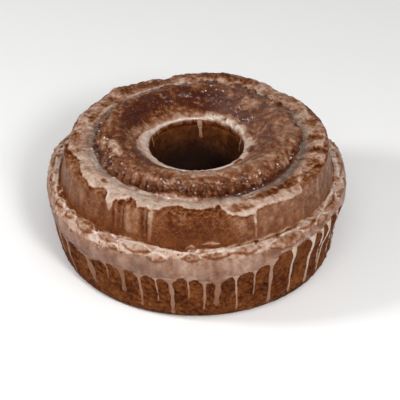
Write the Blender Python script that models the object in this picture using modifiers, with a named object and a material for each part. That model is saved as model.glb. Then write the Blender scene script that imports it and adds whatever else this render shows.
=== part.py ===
"""A glazed pudding cake baked as a ring: a craggy crown round the hole, a flat shoulder, a smooth
drum, a flange with crust flakes and a wall that narrows to the flat base. One solid, in metres, +Z up,
with the origin on the hole's axis at the base."""

import math
import random

import bmesh
import bpy
from mathutils import Vector, noise

# Driving dimensions
CAKE_RADIUS = 0.0955
CAKE_HEIGHT = 0.0840
HOLE_RADIUS = 0.0285
BASE_RADIUS = 0.0825
CROWN_RADIUS = 0.0650
DRUM_RADIUS = 0.0838
FLANGE_HEIGHT = 0.0410
SHOULDER_HEIGHT = 0.0755

# Fineness of the solid: the outline's spans where the crust is craggy, gently uneven and smooth
TURN_STEPS = 128
CRAGGY_SPAN, UNEVEN_SPAN, SMOOTH_SPAN = 0.0035, 0.0060, 0.0180
CRAGGY = 0.0005

# The crumb's crags
KNOB_SIZE = 0.0100
KNOB_REACH = 1.25
KNOB_MEAN = 0.38
WAVE_SIZE = 0.030
WARP_SIZE = 0.012
WARP_REACH = 0.003

# Crust flakes that stand on the flange, besides those of FLAKES
FLAKE_SEED = 7
MORE_FLAKES = 22
MORE_FLAKES_FROM, MORE_FLAKES_TO = -30.0, 212.0

MM = 0.001


def key_points():
    """The outline's own points, from the base up the hole, over the crown and down the outside.
    Each is a name, its radius and height, and how far knobs and waves lift the crust there."""
    top, rim = CAKE_HEIGHT, SHOULDER_HEIGHT
    flange, nose = FLANGE_HEIGHT, CAKE_RADIUS
    return [
        ("hole_foot", HOLE_RADIUS + 2 * MM, 0, 0, 0),
        ("hole_low", HOLE_RADIUS, 2.5 * MM, 0, 0),
        ("hole_high", HOLE_RADIUS + 0.3 * MM, top - 16 * MM, 0, 0.3 * MM),
        ("lip", HOLE_RADIUS + 1.7 * MM, top - 10.5 * MM, 0, 0.3 * MM),
        ("dish", HOLE_RADIUS + 9 * MM, top - 7.8 * MM, 0.1 * MM, 0.3 * MM),
        ("crown_in", CROWN_RADIUS - 20 * MM, top - 2.9 * MM, 1.6 * MM, 0.6 * MM),
        ("crown_top", CROWN_RADIUS - 13 * MM, top - 0.6 * MM, 2.2 * MM, 0.8 * MM),
        ("crown_out", CROWN_RADIUS - 5 * MM, top - 2.0 * MM, 3.0 * MM, 1.0 * MM),
        ("crown_edge", CROWN_RADIUS + 0.6 * MM, top - 5.4 * MM, 2.8 * MM, 1.4 * MM),
        ("undercut", CROWN_RADIUS + 0.1 * MM, rim - 0.4 * MM, 1.2 * MM, 0.8 * MM),
        ("groove", CROWN_RADIUS + 1.5 * MM, rim - 2.2 * MM, 0, 0.3 * MM),
        ("shoulder_in", CROWN_RADIUS + 5 * MM, rim - 0.8 * MM, 0.6 * MM, 0.5 * MM),
        ("shoulder", DRUM_RADIUS - 7 * MM, rim, 0.8 * MM, 0.8 * MM),
        ("rim", DRUM_RADIUS - 1.4 * MM, rim - 1.0 * MM, 0.6 * MM, 0.6 * MM),
        ("drum_top", DRUM_RADIUS, rim - 3.6 * MM, 0.3 * MM, 0.4 * MM),
        ("drum_foot", DRUM_RADIUS + 2.6 * MM, flange + 13.4 * MM, 0.2 * MM, 0.4 * MM),
        ("flange_in", DRUM_RADIUS + 4.4 * MM, flange + 11.6 * MM, 0.6 * MM, 0.3 * MM),
        ("flange_out", nose - 3.4 * MM, flange + 9.4 * MM, 0.5 * MM, 0.3 * MM),
        ("nose_top", nose - 0.9 * MM, flange + 5 * MM, 0.2 * MM, 0.3 * MM),
        ("nose", nose, flange, 0.2 * MM, 0.3 * MM),
        ("nose_low", nose - 1.2 * MM, flange - 5.5 * MM, 0.1 * MM, 0.3 * MM),
        ("wall_high", nose - 2.8 * MM, flange - 11 * MM, 0.1 * MM, 0.4 * MM),
        ("wall_low", BASE_RADIUS + 7 * MM, 13 * MM, 0.1 * MM, 0.4 * MM),
        ("foot", BASE_RADIUS + 4 * MM, 3.5 * MM, 0, 0.1 * MM),
        ("base", BASE_RADIUS, 0, 0, 0),
    ]


# Single lumps and dents: angle in degrees, the key point they sit at and how far past it they lie,
# then half length round the ring, half width across it and rise, in millimetres
LUMPS = [
    (73, "rim", -2, 22, 7, 2.2),
    (50, "rim", 0, 7, 6, -1.6),
    (107, "rim", 0, 8, 6, -2.0),
    (127, "rim", 0, 6, 5, 1.4),
    (-146, "shoulder_in", 3, 6, 5, 1.9),
    (-121, "drum_top", 7, 4.5, 7, -1.8),
    (-114, "drum_top", 8, 4, 7, 1.2),
    (-110.5, "drum_top", 9, 1.6, 8, -1.2),
    (-66, "drum_top", 8, 1.4, 9, 1.0),
    (-47, "crown_edge", 0, 5, 4, 1.6),
    (-162, "crown_edge", 0, 5, 4, -2.4),
    (-30, "dish", 3, 4, 2.5, 1.4),
    (-2, "dish", 1, 4, 2, 1.2),
    (77, "dish", 5, 5, 3, 1.5),
]

# Flakes on the flange, seen from the front: angle, half length and rise in degrees and millimetres
FLAKES = [
    (-141, 7, 1.7),
    (-129, 6, 1.8),
    (-115, 5, 1.4),
    (-104, 7, 1.6),
    (-92, 4, 2.0),
    (-83, 6, 1.3),
    (-68, 6, 1.7),
    (-53, 9, 2.2),
    (-40, 6, 1.6),
]
FLAKE_HALF_WIDTH = 2.8


def clear_scene():
    for obj in list(bpy.data.objects):
        bpy.data.objects.remove(obj, do_unlink=True)


def span_between(a, b):
    """The length of the spans that draw the outline from one key point to the next."""
    knob, wave = max(a[2], b[2]), max(a[3], b[3])
    if knob >= CRAGGY:
        return CRAGGY_SPAN
    return UNEVEN_SPAN if min(a[3], b[3]) > 0 or knob > 0 < wave else SMOOTH_SPAN


def curve_through(points):
    """A Catmull-Rom curve through the key points, with the four numbers of each blended alike.
    Returns the samples and, for each key point's name, how far along the curve it lies."""
    rows = [p[1:] for p in points]
    samples, places, travelled = [], {points[0][0]: 0.0}, 0.0
    for i in range(len(rows) - 1):
        before, a, b, after = (
            rows[max(i - 1, 0)],
            rows[i],
            rows[i + 1],
            rows[min(i + 2, len(rows) - 1)],
        )
        length = math.dist(a[:2], b[:2])
        spans = max(1, round(length / span_between(a, b)))
        for step in range(spans):
            t = step / spans
            samples.append(
                [
                    0.5
                    * (
                        2 * q
                        + (r - p) * t
                        + (2 * p - 5 * q + 4 * r - s) * t**2
                        + (3 * q - p - 3 * r + s) * t**3
                    )
                    for p, q, r, s in zip(before, a, b, after)
                ]
            )
        travelled += length
        places[points[i + 1][0]] = travelled
    samples.append(list(rows[-1]))
    return samples, places


def stations(samples):
    """For each sample of the outline: how far along it lies, and the outward normal there."""
    along, total = [0.0], 0.0
    for a, b in zip(samples, samples[1:]):
        total += math.dist(a[:2], b[:2])
        along.append(total)
    normals = []
    for i in range(len(samples)):
        a, b = samples[max(i - 1, 0)], samples[min(i + 1, len(samples) - 1)]
        run, rise = b[0] - a[0], b[1] - a[1]
        length = math.hypot(run, rise)
        normals.append((-rise / length, run / length))
    return along, normals


def turned_ring(samples):
    """The outline turned round the hole's axis, as a mesh."""
    profile = bpy.data.meshes.new("outline")
    profile.from_pydata(
        [(r, 0, z) for r, z, _, _ in samples],
        [(i, (i + 1) % len(samples)) for i in range(len(samples))],
        [],
    )
    guide = bpy.data.objects.new("outline", profile)
    bpy.context.scene.collection.objects.link(guide)
    screw = guide.modifiers.new("turn", "SCREW")
    screw.axis = "Z"
    screw.angle = math.tau
    screw.steps = screw.render_steps = TURN_STEPS
    screw.use_merge_vertices = True
    screw.merge_threshold = 0.00001
    graph = bpy.context.evaluated_depsgraph_get()
    ring = bpy.data.meshes.new_from_object(guide.evaluated_get(graph))
    bpy.data.objects.remove(guide, do_unlink=True)
    return ring


def knobs(place):
    """Rounded crags of the broken crust, from about -0.4 to 0.6."""
    warp = noise.noise_vector(place / WARP_SIZE) * WARP_REACH
    nearest = noise.voronoi((place + warp) / KNOB_SIZE)[0][0]
    bump = max(0.0, 1 - (nearest * KNOB_REACH) ** 2)
    return bump - KNOB_MEAN


def all_flakes():
    """The flakes of FLAKES, and as many like them round the rest of the flange."""
    draw = random.Random(FLAKE_SEED)
    flakes = list(FLAKES)
    step = (MORE_FLAKES_TO - MORE_FLAKES_FROM) / MORE_FLAKES
    for i in range(MORE_FLAKES):
        angle = MORE_FLAKES_FROM + step * (i + draw.uniform(0.2, 0.8))
        flakes.append((angle, draw.uniform(4, 7.5), draw.uniform(1.0, 1.9)))
    return flakes


def lumps(places):
    """Every single lump, dent and flake as angle, place along the outline, half sizes and rise."""
    found = [
        (math.radians(angle), places[key] + past * MM, long * MM, wide * MM, rise * MM)
        for angle, key, past, long, wide, rise in LUMPS
    ]
    middle = places["flange_out"]
    for angle, half_length, rise in all_flakes():
        found.append(
            (
                math.radians(angle),
                middle,
                half_length * MM,
                FLAKE_HALF_WIDTH * MM,
                rise * MM,
            )
        )
    return found


def lift_by_lumps(angle, radius, along, found):
    """How far the single lumps lift the crust at this angle and place along the outline."""
    lift = 0.0
    for at, place, half_length, half_width, rise in found:
        turn = (angle - at + math.pi) % math.tau - math.pi
        spread = (turn * radius / half_length) ** 2 + (
            (along - place) / half_width
        ) ** 2
        lift += rise * math.exp(-spread)
    return lift


def add_crust(ring, samples, places):
    """Moves each point of the turned ring along its normal by the crags, waves and lumps there."""
    along, normals = stations(samples)
    found = lumps(places)
    mesh = bmesh.new()
    mesh.from_mesh(ring)
    for vertex in mesh.verts:
        radius, angle = (
            math.hypot(vertex.co.x, vertex.co.y),
            math.atan2(vertex.co.y, vertex.co.x),
        )
        i = min(
            range(len(samples)),
            key=lambda j: math.dist((radius, vertex.co.z), samples[j][:2]),
        )
        knob, wave = samples[i][2:]
        if samples[i][1] <= 0:
            continue
        lift = knob * knobs(vertex.co) + wave * noise.noise(vertex.co / WAVE_SIZE)
        lift += lift_by_lumps(angle, radius, along[i], found)
        outward, upward = normals[i]
        vertex.co += lift * Vector(
            (outward * math.cos(angle), outward * math.sin(angle), upward)
        )
    mesh.to_mesh(ring)
    mesh.free()


def glazed_crust():
    material = bpy.data.materials.new("glazed_crust")
    material.use_nodes = True
    shader = material.node_tree.nodes["Principled BSDF"]
    shader.inputs["Base Color"].default_value = (0.20, 0.085, 0.045, 1)
    shader.inputs["Roughness"].default_value = 0.35
    shader.inputs["Metallic"].default_value = 0.0
    return material


def main():
    clear_scene()
    samples, places = curve_through(key_points())
    ring = turned_ring(samples)
    add_crust(ring, samples, places)
    ring.name = "cake"
    ring.materials.append(glazed_crust())
    ring.shade_smooth()
    food = bpy.data.collections.new("pudding_cake")
    bpy.context.scene.collection.children.link(food)
    food.objects.link(bpy.data.objects.new("cake", ring))


main()
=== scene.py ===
"""Looks of the glazed ring cake: a craggy crown round the hole, a glaze coat over shoulder, drum and
flange, a bare porous wall with drips, and chips of crust. Lengths are in millimetres up to the meshes."""

import math
import random

import bmesh
import bpy
import numpy as np
from mathutils import Matrix, Vector, noise


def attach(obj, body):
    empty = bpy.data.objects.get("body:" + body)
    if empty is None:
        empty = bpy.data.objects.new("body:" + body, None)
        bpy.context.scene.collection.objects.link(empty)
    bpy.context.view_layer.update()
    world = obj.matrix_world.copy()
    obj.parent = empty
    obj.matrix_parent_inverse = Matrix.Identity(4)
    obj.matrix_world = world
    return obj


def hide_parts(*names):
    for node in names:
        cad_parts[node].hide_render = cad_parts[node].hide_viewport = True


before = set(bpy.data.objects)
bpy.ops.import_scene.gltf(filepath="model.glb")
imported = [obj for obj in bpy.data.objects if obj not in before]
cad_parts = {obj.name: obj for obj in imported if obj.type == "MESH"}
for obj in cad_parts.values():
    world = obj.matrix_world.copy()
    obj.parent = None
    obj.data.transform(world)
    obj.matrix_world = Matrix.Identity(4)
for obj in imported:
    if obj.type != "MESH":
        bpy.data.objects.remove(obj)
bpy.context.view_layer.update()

MM = 0.001

# Without a fixed seed, noise_vector gives other values on every run
WARP_SEED = 5
noise.seed_set(WARP_SEED)

# The cake's driving sizes
CAKE_RADIUS = 95.5
CAKE_HEIGHT = 84.0
HOLE_RADIUS = 28.5
BASE_RADIUS = 82.5
CROWN_RADIUS = 65.0
DRUM_RADIUS = 83.8
FLANGE_HEIGHT = 41.0
SHOULDER_HEIGHT = 75.5

# The crags of the solid, which the finer ones here are added to
KNOB_SIZE = 10.0
KNOB_REACH = 1.25
KNOB_MEAN = 0.38
WAVE_SIZE = 30.0
WARP_SIZE = 12.0
WARP_REACH = 3.0

# How quickly glaze turns pale as it gets thicker, and how softly it ends
PALE_AT = 0.55
FILM_EDGE = 0.10

# How many points there are round the bare wall and the hole
CRUMB_COLUMNS = 720


def key_points():
    """Each is a name, its radius and height, how far knobs, waves and fine crags lift the crust there,
    and how thick the glaze lies."""
    top, rim = CAKE_HEIGHT, SHOULDER_HEIGHT
    flange, nose = FLANGE_HEIGHT, CAKE_RADIUS
    return [
        ("hole_foot", HOLE_RADIUS + 2, 0, 0, 0, 0.0, -0.3),
        ("hole_low", HOLE_RADIUS, 2.5, 0, 0, 0.3, -0.3),
        ("hole_start", HOLE_RADIUS, 9, 0, 0.3, 0.3, -0.3),
        ("hole_end", HOLE_RADIUS + 0.5, top - 22, 0, 0.3, 0.3, -0.2),
        ("hole_high", HOLE_RADIUS + 1.3, top - 16, 0, 0.3, 0.3, -0.2),
        ("lip", HOLE_RADIUS + 2.9, top - 10.5, 0, 0.3, 0.1, 0.5),
        ("dish", HOLE_RADIUS + 9, top - 7.8, 0.3, 0.3, 0.1, 0.22),
        ("crown_in", CROWN_RADIUS - 20, top - 2.9, 1.5, 0.6, 0.7, 0.04),
        ("crown_top", CROWN_RADIUS - 13, top - 0.6, 2.0, 0.8, 1.0, 0.10),
        ("crown_out", CROWN_RADIUS - 4.8, top - 1.5, 2.4, 1.0, 1.2, 0.16),
        ("crown_edge", CROWN_RADIUS - 0.6, top - 5.0, 2.2, 1.2, 1.3, 0.02),
        ("undercut", CROWN_RADIUS - 1.6, rim - 0.4, 1.0, 0.8, 0.5, -0.1),
        ("groove", CROWN_RADIUS + 1.2, rim - 2.2, 0, 0.3, 0.1, 0.5),
        ("shoulder_in", CROWN_RADIUS + 5, rim - 0.8, 0.6, 0.5, 0.5, 0.7),
        ("shoulder", DRUM_RADIUS - 7, rim, 0.8, 0.8, 0.6, 0.7),
        ("rim", DRUM_RADIUS - 1.4, rim - 1.0, 0.6, 0.6, 0.5, 0.7),
        ("drum_top", DRUM_RADIUS, rim - 3.6, 0.3, 0.4, 0.25, 0.7),
        ("drum_foot", DRUM_RADIUS + 2.6, flange + 13.4, 0.2, 0.4, 0.25, 0.3),
        ("flange_in", DRUM_RADIUS + 4.4, flange + 11.6, 0.6, 0.3, 0.5, 0.8),
        ("flange_out", nose - 3.4, flange + 9.4, 0.5, 0.3, 0.5, 0.8),
        ("nose_top", nose - 0.9, flange + 5, 0.2, 0.3, 0.3, 0.8),
        ("nose", nose, flange, 0.2, 0.3, 0.3, 0.8),
        ("nose_low", nose - 1.2, flange - 5.5, 0.1, 0.3, 0.5, 0.8),
        ("wall_high", nose - 2.8, flange - 11, 0.1, 0.4, 0.7, 0.8),
        ("wall_low", BASE_RADIUS + 7, 13, 0.1, 0.4, 0.7, 0.4),
        ("foot", BASE_RADIUS + 4, 3.5, 0, 0.1, 0.5, 0.0),
        ("base", BASE_RADIUS, 0, 0, 0, 0.0, 0.0),
    ]


KNOB, WAVE, CRAG, GLAZE = 2, 3, 4, 5

# Single lumps and dents: angle in degrees, the key point they sit at and how far past it they lie,
# then half length round the ring, half width across it and rise
LUMPS = [
    (73, "rim", -2, 22, 7, 2.2),
    (50, "rim", 0, 7, 6, -1.6),
    (107, "rim", 0, 8, 6, -2.0),
    (127, "rim", 0, 6, 5, 1.4),
    (-146, "shoulder_in", 3, 6, 5, 1.9),
    (-47, "crown_edge", 0, 5, 4, 1.6),
    (-162, "crown_edge", 0, 5, 4, -1.4),
    (-176, "crown_edge", 0, 20, 6, -2.0),
    (135, "crown_edge", -1, 34, 7, -3.5),
    (150, "rim", 0, 24, 9, -2.2),
    (169, "rim", 0, 11, 9, -2.6),
    (-90, "crown_edge", 0, 40, 5, -1.7),
    (-102, "crown_edge", 0, 17, 5, -1.2),
    (-108, "undercut", 0.8, 20, 2.2, 1.6),
    (-90, "lip", 1, 32, 8, -1.6),
    (30, "crown_in", -1, 4, 2.5, 1.0),
    (177, "drum_top", 6, 16, 9, -2.0),
    (160, "flange_out", 2, 24, 8, 3.2),
    (12, "flange_out", 1, 15, 6, 2.2),
    (21, "flange_out", 2, 10, 7, 2.4),
    (-10, "nose_low", 0, 22, 6, -2.4),
    (-14, "wall_high", 9, 34, 14, -2.0),
    (-170, "nose_low", 0, 18, 6, -1.4),
]

# Chunks of crust in the lip and the crown: as above, with a flat top and hardly any glaze
CHUNKS = [
    (13, "dish", -3.4, 4.2, 2.6, 1.3),
    (-17, "dish", -1.8, 4.0, 2.9, 1.4),
    (-42, "dish", -3.4, 3.4, 2.1, 1.2),
    (39, "dish", 3.0, 5.4, 3.6, 1.6),
    (-75, "dish", -1.0, 1.6, 1.2, 0.8),
    (-140, "shoulder_in", 4.0, 2.6, 1.6, 0.6),
]

# Crust flakes on the flange: angle, how far past flange_out, half length, half width, rise and bareness
FLAKES = [
    (-158, -1.0, 5, 2.0, 1.3, 0.4),
    (-149, -1.5, 5, 1.8, 1.4, 0.6),
    (-139, -2.0, 9, 2.8, 1.9, 0.7),
    (-127, -2.5, 7, 2.2, 1.9, 0.6),
    (-123, 1.0, 3, 1.3, 1.1, 1.0),
    (-114, -2.0, 9, 2.4, 1.5, 0.25),
    (-105, 1.5, 6, 2.2, 1.6, 1.0),
    (-92, -5.5, 3.2, 2.6, 2.0, 0.5),
    (-92, 0.0, 5.5, 2.0, 1.9, 0.9),
    (-84, -9.5, 4.0, 1.0, 1.0, 0.3),
    (-82, -1.5, 9, 1.8, 1.4, 0.15),
    (-70, -2.0, 9, 2.4, 1.8, 0.2),
    (-53, -0.5, 13, 3.4, 2.2, 0.75),
    (-41, -3.0, 7, 2.0, 1.6, 0.3),
    (-33, 0.5, 7, 2.2, 1.4, 0.6),
]
FLAKE_SEED = 7
MORE_FLAKES = 26
MORE_FLAKES_FROM, MORE_FLAKES_TO = -25.0, 196.0
FLAKE_FILM = 0.34

# How wide the pale lip round the hole is, at angles in degrees
LIP_WIDTH = [
    (-163, 9), (-139, 7), (-113, 5.6), (-90, 5.2), (-68, 4.8), (-42, 4.7), (-17, 6), (5, 6),
    (20, 4), (35, 2.6), (60, 2.2), (80, 1.4), (95, 1.3), (120, 1.4), (150, 2.4), (167, 6), (180, 8.5),
]

# How thick the glaze of the lip lies, and how much thinner it is on the shoulder than in front
LIP_GLAZE = [
    (-165, 0.35), (-140, 0.45), (-115, 1.0), (-70, 1.3), (-55, 0.8), (-30, 0.35), (10, 0.3), (28, 0.15),
    (68, 0.15), (80, 0.8), (125, 1.0), (150, 0.6),
]
SHOULDER_THINNER = [
    (-180, 0.16), (-155, 0.12), (-135, -0.06), (-80, -0.06), (-60, 0.15), (-35, 0.3), (0, 0.22),
    (25, 0.14), (60, 0.26), (100, 0.24), (130, 0.32), (160, 0.2),
]

# How much thinner the glaze is on the flange than in front, at angles in degrees
FLANGE_THINNER = [
    (-180, 0.2), (-168, 0.4), (-157, 0.32), (-145, 0.2), (-133, 0.1), (-110, 0.12), (-98, 0.22), (-89, 0.36),
    (-79, 0.26), (-66, 0.1), (-46, 0.2), (-30, 0.34), (-12, 0.36), (6, 0.2), (60, 0.28), (120, 0.22),
]

# How far below the rim the shoulder's pale glaze ends, at angles in degrees
SCALLOPS = [
    (-173, -2.6), (-162, -6.3), (-156, -4.0), (-151, -2.1), (-141, -0.7), (-135, -4.7), (-132, -2.0),
    (-130.4, 2.0), (-129.4, 6.0), (-128.6, 8.5), (-127.8, 4.5),
    (-126.6, -1.5), (-124.5, -3.5), (-121, -7.0), (-118.5, -5.5), (-116, -0.4), (-112, -3.1), (-110, -0.5),
    (-106, -2.6), (-103, -7.0), (-99, -8.6), (-94, -5.9), (-87, -5.4), (-82, -7.0), (-79.5, -9.0),
    (-78, -3.7), (-75, 1.2), (-69, 3.3), (-65, 3.3), (-63.5, 0.2), (-60, 0.0), (-49, 1.3), (-40, 2.6),
    (-37, -3.5), (-29, -6.0), (-22, -4.0), (-17, 0.6),
]
SCALLOP_MEAN, SCALLOP_DEPTH = -1.0, 4.5

# How grey the glaze in the groove is, at angles in degrees
GREY_GROOVE = [(-175, 0.5), (-140, 0.5), (-95, 0.35), (-60, 0.9), (-30, 1.0), (40, 1.0), (80, 0.4), (150, 0.4)]

# Where the flange's glaze starts below the drum, and how far past its outer edge it stays pale
FOOT = [
    (-178, 1.5), (-166, 5.5), (-150, 5.0), (-133, 5.2), (-126, 2.5), (-120, 0), (-113, 0),
    (-108, 1.6), (-98, 4.1), (-94, 3.8),
    (-89, 1.8), (-83, 2.1), (-74, 0), (-65, -1), (-50, -0.5), (-30, 0.5),
]
FOOT_MEAN, FOOT_DEPTH = 1.0, 2.5
PALE_END = [
    (-170, 6.0), (-155, 4.2), (-139, 5.0), (-124, 3.3), (-108, 1.2), (-89, 0.4), (-69, 0.9), (-52, 1.2),
    (-33, 0.4), (-15, 2.0),
]
PALE_END_MEAN, PALE_END_DEPTH = 2.2, 3.0

# How far below the flange's outer edge the glaze ends, at angles in degrees
HEM = [
    (-175, 13), (-160, 17), (-150, 15), (-141, 18), (-129, 16), (-119, 14), (-108, 17), (-95, 14),
    (-85, 17), (-75, 14), (-66, 12), (-60, 7), (-53, 5.5), (-42, 5), (-32, 4.5), (-25, 3.5), (-10, 8),
]
HEM_MEAN, HEM_DEPTH = 10.0, 7.0

# Where the glaze is thinner or thicker: angle, key point, past it, half length, half width, change
PATCHES = [
    (152, "shoulder", -7, 5, 3, -0.2), (158, "shoulder", -5, 4, 3, -0.25),
    (140, "shoulder", -2, 7, 3, -0.2), (125, "shoulder", -1, 6, 5, -0.35), (176, "shoulder", 1, 9, 2, -0.15),
    (38, "shoulder", 2, 3.4, 5, -0.25), (28, "shoulder", -2, 3.0, 5, -0.2),
    (17, "shoulder", -1, 4.0, 6, -0.32), (3, "shoulder", -1, 4.0, 7, -0.34),
    (-8, "shoulder", 0, 4.4, 6, -0.36),
    (-20, "shoulder", 1, 4.4, 5, -0.34), (-40, "shoulder", -2.5, 10, 4.4, -0.36),
    (-55, "shoulder", -3.6, 14, 4.0, -0.5), (-71, "shoulder", 2.2, 9, 3.6, -0.45),
    # Painted shadow: the thinner glaze in the undercut at -50 degrees darkens the line under the crown's edge
    (-50, "undercut", 0.8, 26, 0.9, -0.5), (-62, "groove", 0.2, 12, 0.6, 0.7),
    (0, "crown_top", 0, 44, 9, 0.06),
    (-96, "shoulder", -2, 4, 1.0, -0.3), (80, "shoulder", 2, 28, 4, -0.25),
    (112, "shoulder", 0, 14, 4.5, -0.2),
    (50, "shoulder_in", 0, 28, 1.4, 0.4), (105, "shoulder_in", 0.5, 34, 1.2, 0.4),
    # Painted shadow: the thinner glaze in the undercut at -168 degrees darkens the line under the crown's edge
    (150, "shoulder_in", 0, 16, 1.3, 0.3), (-168, "undercut", 0.0, 12, 1.2, -0.3),
    (-106, "undercut", 0.8, 24, 1.8, 0.6), (-84, "crown_top", -3, 24, 7, 0.33),
    (-52, "crown_top", -3, 12, 7, 0.22),
    (-112, "crown_top", -2, 10, 5, 0.14), (-90, "crown_out", 3.0, 40, 3, -0.18),
    (68, "dish", 2.5, 17, 4.5, -0.34), (88, "crown_in", -2, 16, 5, -0.14),
    (147, "crown_in", -1, 12, 6, -0.2),
    (66, "crown_top", 0, 14, 5, 0.08), (43, "crown_in", -1, 5, 3, 0.18), (32, "crown_top", 0, 6, 4, -0.14),
    (-178, "shoulder", 1, 20, 6, -0.18), (-145, "groove", 0.5, 50, 2.4, 0.30),
    (-158, "crown_top", 2.5, 9, 3.4, 0.42), (-153, "crown_top", 6.5, 3.5, 2.5, 0.3),
    (-150, "crown_out", 3, 4, 3, -0.2), (45, "crown_top", -3, 9, 4, 0.25),
    (-30, "crown_out", 3, 7, 4, 0.3), (-40, "crown_top", 3, 10, 5, 0.14),
    (-120, "crown_out", 1, 8, 3, 0.15), (-21, "crown_out", -1, 5, 4, -0.08),
    (-5, "crown_top", -2, 8, 6, 0.08),
    (110, "crown_in", 3, 40, 6, -0.14), (160, "crown_in", 1, 12, 5, -0.1), (91, "crown_in", 0, 12, 4, -0.16),
    (27, "dish", 1.5, 6, 3, -0.16), (-114, "dish", 1.0, 20, 1.8, -0.32), (-150, "dish", 6, 10, 2.5, -0.15),
]

# Runs and dents down the drum: angle, from and to below the rim, half width, glaze and rise
RUNS = [
    (-128.9, -3, 8, 1.8, 0.1, 0.5), (-124.2, -5, 18, 3.6, -0.04, -1.3), (-117.0, -2, 18, 6.6, 0.17, 0.9),
    # The pale run at -117.4 degrees, low on the drum, is a painted highlight on a slight bead
    (-119.8, -1, 15, 1.8, 0.10, 0.1), (-117.4, 14, 17, 4.4, 0.20, 0.3), (-111.6, 0, 17, 1.1, -0.20, -1.4),
    (-109.3, -1.5, 20, 1.7, 0.34, 0.3), (-109.3, -1.5, 6, 1.2, 0.15, 0.2),
    (-67.6, 4, 12, 0.8, -0.16, -0.4), (-65.2, 1, 9, 1.1, 0.55, 0.3), (-65.0, 6, 19, 0.9, 0.4, 0.2),
    (-71, 6, 16, 4.0, 0.12, 0.2), (-146, 4, 22, 2.0, 0.10, 0.1), (-156, 3, 20, 1.4, 0.14, 0.2),
    (-28, 3, 19, 1.6, 0.20, 0.2), (12, 2, 18, 1.5, 0.4, 0.3), (58, 1, 13, 2.2, 0.5, 0.4),
    (95, 2, 19, 1.4, 0.4, 0.3), (131, 0, 12, 2.6, 0.5, 0.4), (170, 3, 19, 1.8, 0.25, 0.3),
]

# How thick the film on the drum is, at angles in degrees
DRUM_FILM = [
    (-175, 0.20), (-150, 0.17), (-135, 0.15), (-124, 0.12), (-105, 0.08), (-85, 0.07), (-72, 0.14),
    (-50, 0.20), (-30, 0.20), (0, 0.24), (90, 0.22),
]

# How craggy the crown is, at angles in degrees
CRAGGY = [
    (-180, 0.8), (-150, 1.0), (-90, 1.1), (-60, 0.9), (-35, 0.5), (0, 0.4), (25, 0.5), (50, 0.9),
    (75, 0.9), (95, 0.5), (140, 0.6), (165, 0.8),
]

# Drips on the bare wall: angle at the top and at the end, height of the end, width, paleness
DRIPS = [
    (-166, -164, 9, 1.8, 0.5), (-158, -157, 15, 2.6, 0.5), (-150, -149.5, 6, 3.8, 0.42),
    (-137, -134, 12, 7.0, 0.38), (-127, -126, 22, 1.4, 0.45), (-120, -119, 16, 4.2, 0.38),
    (-112, -112, 7, 2.4, 0.5), (-105.5, -105, 14, 1.2, 0.6), (-100, -99, 4, 3.4, 0.5),
    (-93, -93, 18, 1.3, 0.6), (-87, -87, 9, 2.2, 0.55), (-82, -82, 13, 5.0, 0.4), (-75, -74, 6, 1.7, 0.65),
    (-68, -67, 16, 1.3, 0.6), (-61, -60, 5, 3.2, 0.55), (-51, -50, 7, 2.0, 0.78), (-41, -40, 6, 2.6, 0.85),
    (-35, -33.5, 16, 1.5, 0.8), (-29.5, -32, 7, 1.9, 0.82), (-22, -21.5, 11, 1.4, 0.75),
    (-13, -14, 5, 2.4, 0.7),
]
DRIP_SEED = 21
MORE_DRIPS = 24
MORE_DRIPS_FROM, MORE_DRIPS_TO = 0.0, 198.0

# Drips down the hole's wall: angle at the top and at the end, height of the end, width, paleness
HOLE_DRIPS = [
    # The first is partly a glaze drip and partly a painted reflection down the hole's back wall
    (86.5, 84.5, 60, 3.4, 0.60), (158, 160, 65, 1.6, 0.4), (-60, -62, 55, 1.8, 0.4), (20, 18, 62, 1.8, 0.4),
]

# Small bits of crust stuck in the glaze: angles from and to, key point, from and to past it, how many
CHIPS = [
    (-172, -120, "flange_out", -4, 7, 90), (-120, -60, "flange_out", -6, 5, 34),
    (-60, 30, "flange_out", -6, 7, 80), (30, 188, "flange_out", -7, 7, 110),
    (-180, 180, "crown_top", -2, 15, 60), (-180, 180, "shoulder", -8, 5, 26),
]
CHIP_SEED = 5


# What each point of the glaze carries for its material
GLAZE_SHEETS = ("sugar", "cool", "mauve", "amber", "hollow")


# Numbers on a surface

def sampled(points, function):
    """The function's value at each point of an array of points."""
    flat = points.reshape(-1, 3).tolist()
    return np.array([function(Vector(p)) for p in flat]).reshape(points.shape[:-1])


def rough(points, size, octaves=1, seed=0):
    """Smooth noise from about -1 to 1."""
    moved = points / size + seed * 17.3
    if octaves == 1:
        return sampled(moved, noise.noise)
    return sampled(moved, lambda p: noise.fractal(p, 1.0, 2.0, octaves))


def warped(points, size, reach, seed=0):
    """The points moved about by smooth noise."""
    moved = points / size + seed * 11.7
    flat = moved.reshape(-1, 3).tolist()
    shifts = np.array([noise.noise_vector(Vector(p))[:] for p in flat]).reshape(points.shape)
    return points + reach * shifts


def cells(points, size, seed=0):
    """The distances to the nearest and the next cell's middle, in cell sizes."""
    moved = points / size + seed * 7.1
    flat = moved.reshape(-1, 3).tolist()
    near = np.array([noise.voronoi(Vector(p))[0][:2] for p in flat]).reshape(*points.shape[:-1], 2)
    return near[..., 0], near[..., 1]


def bumps(points, size, reach=KNOB_REACH, seed=0):
    """Rounded bumps from 0 to 1 in cells of this size."""
    nearest, _ = cells(points, size, seed)
    return np.maximum(0, 1 - (nearest * reach) ** 2)


def streaks(ring, width, length, octaves=2, seed=0):
    """Noise drawn out down the slope, as where glaze has run."""
    turn = np.radians(ring.degrees)
    drawn = np.stack(
        [DRUM_RADIUS / width * np.cos(turn), DRUM_RADIUS / width * np.sin(turn), ring.along / length], -1
    )
    return rough(drawn, 1.0, octaves, seed)


def smooth_step(low, high, value):
    t = np.clip((value - low) / (high - low), 0, 1)
    return t * t * (3 - 2 * t)


def softly_above_zero(value, edge=FILM_EDGE):
    return 0.5 * (value + np.sqrt(value**2 + edge**2))


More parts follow.
